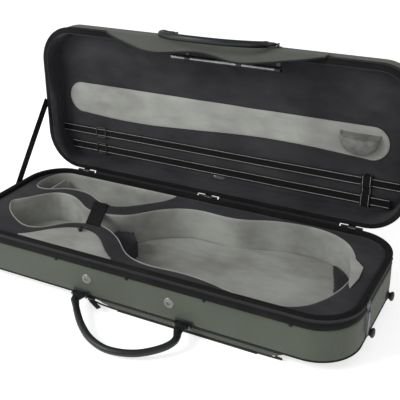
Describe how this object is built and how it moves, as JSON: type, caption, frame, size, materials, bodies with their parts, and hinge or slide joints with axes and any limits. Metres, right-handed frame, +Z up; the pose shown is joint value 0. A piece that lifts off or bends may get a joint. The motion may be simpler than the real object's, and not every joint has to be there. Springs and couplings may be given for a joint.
{
  "type": "violin case",
  "caption": "Oblong violin case with fabric cover, velvet lined fitted interior, hinged lid, carrying handles, closure flap and zipped pocket.",
  "frame": {"origin": "middle of the case, on the flat underside of the pocket it stands on", "axes": "+X towards the tail end, -Y towards the front with the handles, +Z up; the lid stands open at rest"},
  "size_m": [0.8142, 0.4811, 0.4397],
  "materials": {
    "green_canvas": "matte woven canvas",
    "black_binding": "matte ribbed webbing",
    "zip_tape": "moulded coil zip",
    "charcoal_velvet": "short pile velvet",
    "grey_velvet": "short pile velvet",
    "core_board": "laminated board",
    "handle_leather": "smooth stitched leather",
    "snap_metal": "satin nickel",
    "dark_metal": "black nickel",
    "hinge_steel": "plain steel",
    "foot_rubber": "black rubber",
    "pull_metal": "satin gunmetal",
    "tube_metal": "anodised grey"
  },
  "bodies": {
    "base": {"base_cover": "green_canvas", "base_piping": "black_binding", "base_core": "core_board", "base_rim_binding": "black_binding", "base_zip_chain": "zip_tape", "rim_rivets": "dark_metal", "snap_studs": "snap_metal", "end_feet": "foot_rubber", "interior_tray": "charcoal_velvet", "instrument_lining": "grey_velvet", "accessory_lining": "grey_velvet", "storage_lining": "grey_velvet", "accessory_divider": "grey_velvet", "neck_pad": "charcoal_velvet", "tail_pad": "charcoal_velvet", "tail_tab": "grey_velvet", "bottom_pocket": "green_canvas", "pocket_binding": "black_binding", "pocket_zip": "zip_tape", "base_handle_anchors": "handle_leather", "base_hinge_leaves": "hinge_steel", "hinge_pins": "hinge_steel", "hinge_cover": "black_binding", "stay_ribbon": "black_binding"},
    "lid": {"lid_cover": "green_canvas", "lid_core": "core_board", "lid_rim_binding": "black_binding", "lid_zip_chain": "zip_tape", "lid_liner": "charcoal_velvet", "bow_panel": "grey_velvet", "bow_tip_pocket": "grey_velvet", "bow_strap_upper": "black_binding", "bow_strap_lower": "black_binding", "strap_sleeve": "black_binding", "name_plate": "snap_metal", "humidifier_tube": "tube_metal", "tube_clips": "dark_metal", "flap_hem": "green_canvas", "lid_handle_anchors": "handle_leather", "lid_hinge_leaves": "hinge_steel"},
    "flap": {"lid_flap": "green_canvas", "flap_sockets": "snap_metal"},
    "base_grip": {"base_handle": "handle_leather"},
    "lid_grip": {"lid_handle": "handle_leather"},
    "storage_cover": {"storage_lid": "grey_velvet", "storage_lid_knob": "dark_metal"},
    "neck_band": {"neck_strap": "black_binding"},
    "slider": {"zip_slider": "dark_metal"},
    "pull": {"zip_pull": "pull_metal"},
    "pocket_pull": {"pocket_zip_pull": "pull_metal"},
    "buckle_upper": {"adjuster_upper": "dark_metal"},
    "buckle_lower": {"adjuster_lower": "dark_metal"}
  },
  "joints": [
    {"name": "lid_hinge", "type": "hinge", "parent": "base", "child": "lid", "pos_m": [0, 0.155, 0.1023], "axis": [-1, 0, 0], "range_deg": [-91.4, 0], "deforming": ["stay_ribbon", "hinge_cover"]},
    {"name": "flap_fold", "type": "hinge", "parent": "lid", "child": "flap", "pos_m": [0, 0.164, 0.41342], "axis": [-1, 0, 0], "range_deg": [0, 12.5]},
    {"name": "base_handle_pivot", "type": "hinge", "parent": "base", "child": "base_grip", "pos_m": [0.008, -0.161, 0.022], "axis": [-1, 0, 0], "range_deg": [0, 80]},
    {"name": "lid_handle_pivot", "type": "hinge", "parent": "lid", "child": "lid_grip", "pos_m": [0.008, 0.18971, 0.41755], "axis": [-1, 0, 0], "range_deg": [-1, 100], "stiffness_Nm_per_rad": 0.3},
    {"name": "storage_lid_hinge", "type": "hinge", "parent": "base", "child": "storage_cover", "pos_m": [-0.148, -0.1365, 0.0953], "axis": [1, 0, 0], "range_deg": [0, 95]},
    {"name": "neck_strap_hinge", "type": "hinge", "parent": "base", "child": "neck_band", "pos_m": [-0.1845, 0.042, 0.0969], "axis": [-1, 0, 0], "range_deg": [0, 150]},
    {"name": "zip_slide", "type": "slide", "parent": "base", "child": "slider", "axis": [0, 1, 0], "range_m": [0, 0.14]},
    {"name": "zip_pull_pivot", "type": "hinge", "parent": "slider", "child": "pull", "pos_m": [0.4004, -0.07, 0.082], "axis": [0, -1, 0], "range_deg": [0, 150]},
    {"name": "pocket_zip_slide", "type": "slide", "parent": "base", "child": "pocket_pull", "axis": [1, 0, 0], "range_m": [0, 0.33]},
    {"name": "upper_adjuster_slide", "type": "slide", "parent": "lid", "child": "buckle_upper", "axis": [1, 0, 0], "range_m": [-0.06, 0.2]},
    {"name": "lower_adjuster_slide", "type": "slide", "parent": "lid", "child": "buckle_lower", "axis": [1, 0, 0], "range_m": [-0.06, 0.2]}
  ],
  "couplings": [
    {"joint": "flap_fold", "follows": "lid_hinge", "ratio": -0.13675}
  ]
}
